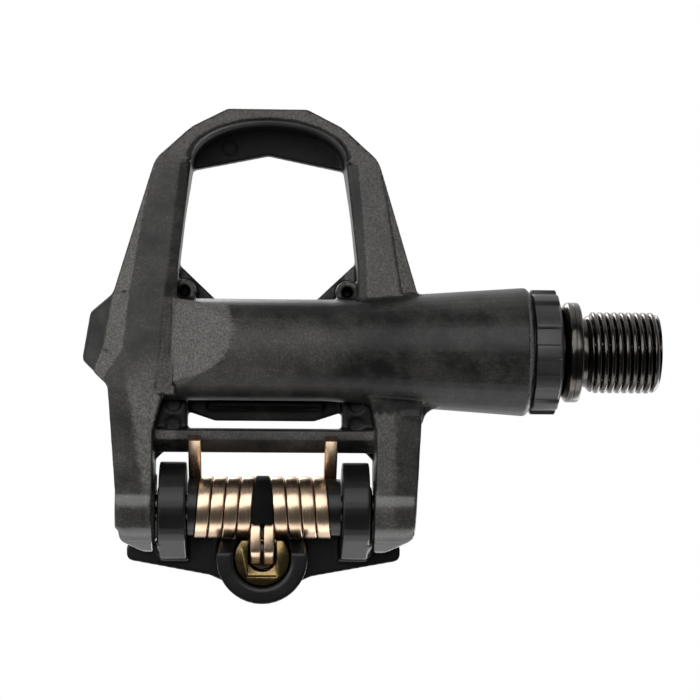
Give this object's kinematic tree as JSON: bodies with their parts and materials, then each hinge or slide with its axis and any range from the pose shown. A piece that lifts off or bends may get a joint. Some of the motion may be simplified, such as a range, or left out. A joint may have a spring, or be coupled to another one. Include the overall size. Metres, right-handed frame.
{
  "type": "clipless pedal",
  "caption": "Right-hand road clipless pedal: nylon body on a bearing spindle, front hook and sprung rear latch that holds a shoe cleat, with a screw that sets the release tension.",
  "frame": {"origin": "on the spindle's axis, in the plane of the collar face that meets the crank", "axes": "+X along the spindle into the crank, -Y towards the nose of the pedal, +Z towards the shoe"},
  "size_m": [0.1009, 0.0868, 0.0298],
  "materials": {
    "fibre_nylon": "matt moulded fibre-filled nylon, dark charcoal",
    "latch_black": "satin moulded plastic, black",
    "ring_black": "satin plastic, black",
    "black_steel": "polished blackened steel",
    "bearing_steel": "ground bearing steel",
    "spring_bronze": "bronze-coloured spring steel",
    "nut_bronze": "gold-bronze plated",
    "seal_rubber": "matt black seal rubber"
  },
  "bodies": {
    "spindle": {"spindle": "black_steel", "spindle_circlip": "bearing_steel", "bearing_inner_race": "bearing_steel"},
    "pedal": {"pedal_body": "fibre_nylon", "lock_ring": "ring_black", "lip_seal": "seal_rubber", "bearing_outer_race": "bearing_steel", "bearing_shield": "seal_rubber", "needle_cup": "bearing_steel", "latch_pin": "black_steel", "spring_sleeve_crank": "latch_black", "spring_sleeve_outboard": "latch_black", "spring_crank": "spring_bronze", "spring_outboard": "spring_bronze"},
    "ball_set": {"bearing_cage": "nut_bronze", "ball_1": "bearing_steel", "ball_2": "bearing_steel", "ball_3": "bearing_steel", "ball_4": "bearing_steel", "ball_5": "bearing_steel", "ball_6": "bearing_steel", "ball_7": "bearing_steel", "ball_8": "bearing_steel", "ball_9": "bearing_steel"},
    "needle_set": {"needle_cage": "nut_bronze", "needle_1": "bearing_steel", "needle_2": "bearing_steel", "needle_3": "bearing_steel", "needle_4": "bearing_steel", "needle_5": "bearing_steel", "needle_6": "bearing_steel", "needle_7": "bearing_steel", "needle_8": "bearing_steel", "needle_9": "bearing_steel", "needle_10": "bearing_steel"},
    "latch": {"latch": "latch_black"},
    "tension_screw": {"tension_screw": "black_steel", "screw_clip": "bearing_steel"},
    "tension_nut": {"tension_nut": "nut_bronze"}
  },
  "joints": [
    {"name": "pedal_spin", "type": "hinge", "parent": "spindle", "child": "pedal", "pos_m": [0, 0, 0], "axis": [1, 0, 0], "continuous": true},
    {"name": "ball_orbit", "type": "hinge", "parent": "spindle", "child": "ball_set", "pos_m": [-0.01545, 0, 0], "axis": [1, 0, 0], "continuous": true},
    {"name": "needle_orbit", "type": "hinge", "parent": "spindle", "child": "needle_set", "pos_m": [-0.05588, 0, 0], "axis": [1, 0, 0], "continuous": true},
    {"name": "latch_pivot", "type": "hinge", "parent": "pedal", "child": "latch", "pos_m": [-0.05488, 0.0276, 0.001], "axis": [-1, 0, 0], "range_deg": [0, 18], "stiffness_Nm_per_rad": 0.6, "springref_deg": -2.29, "deforming": ["spring_crank", "spring_outboard"]},
    {"name": "screw_turn", "type": "hinge", "parent": "latch", "child": "tension_screw", "pos_m": [-0.05518, 0.03625, 0.0106], "axis": [0, 0, -1], "range_deg": [0, 1080]},
    {"name": "nut_travel", "type": "slide", "parent": "latch", "child": "tension_nut", "axis": [0, 0, 1], "range_m": [0, 0.0024], "deforming": ["spring_crank", "spring_outboard"]}
  ],
  "couplings": [
    {"joint": "ball_orbit", "follows": "pedal_spin", "ratio": 0.591},
    {"joint": "needle_orbit", "follows": "pedal_spin", "ratio": 0.577},
    {"joint": "screw_turn", "follows": "nut_travel", "rad_per_m": 7853.9}
  ]
}
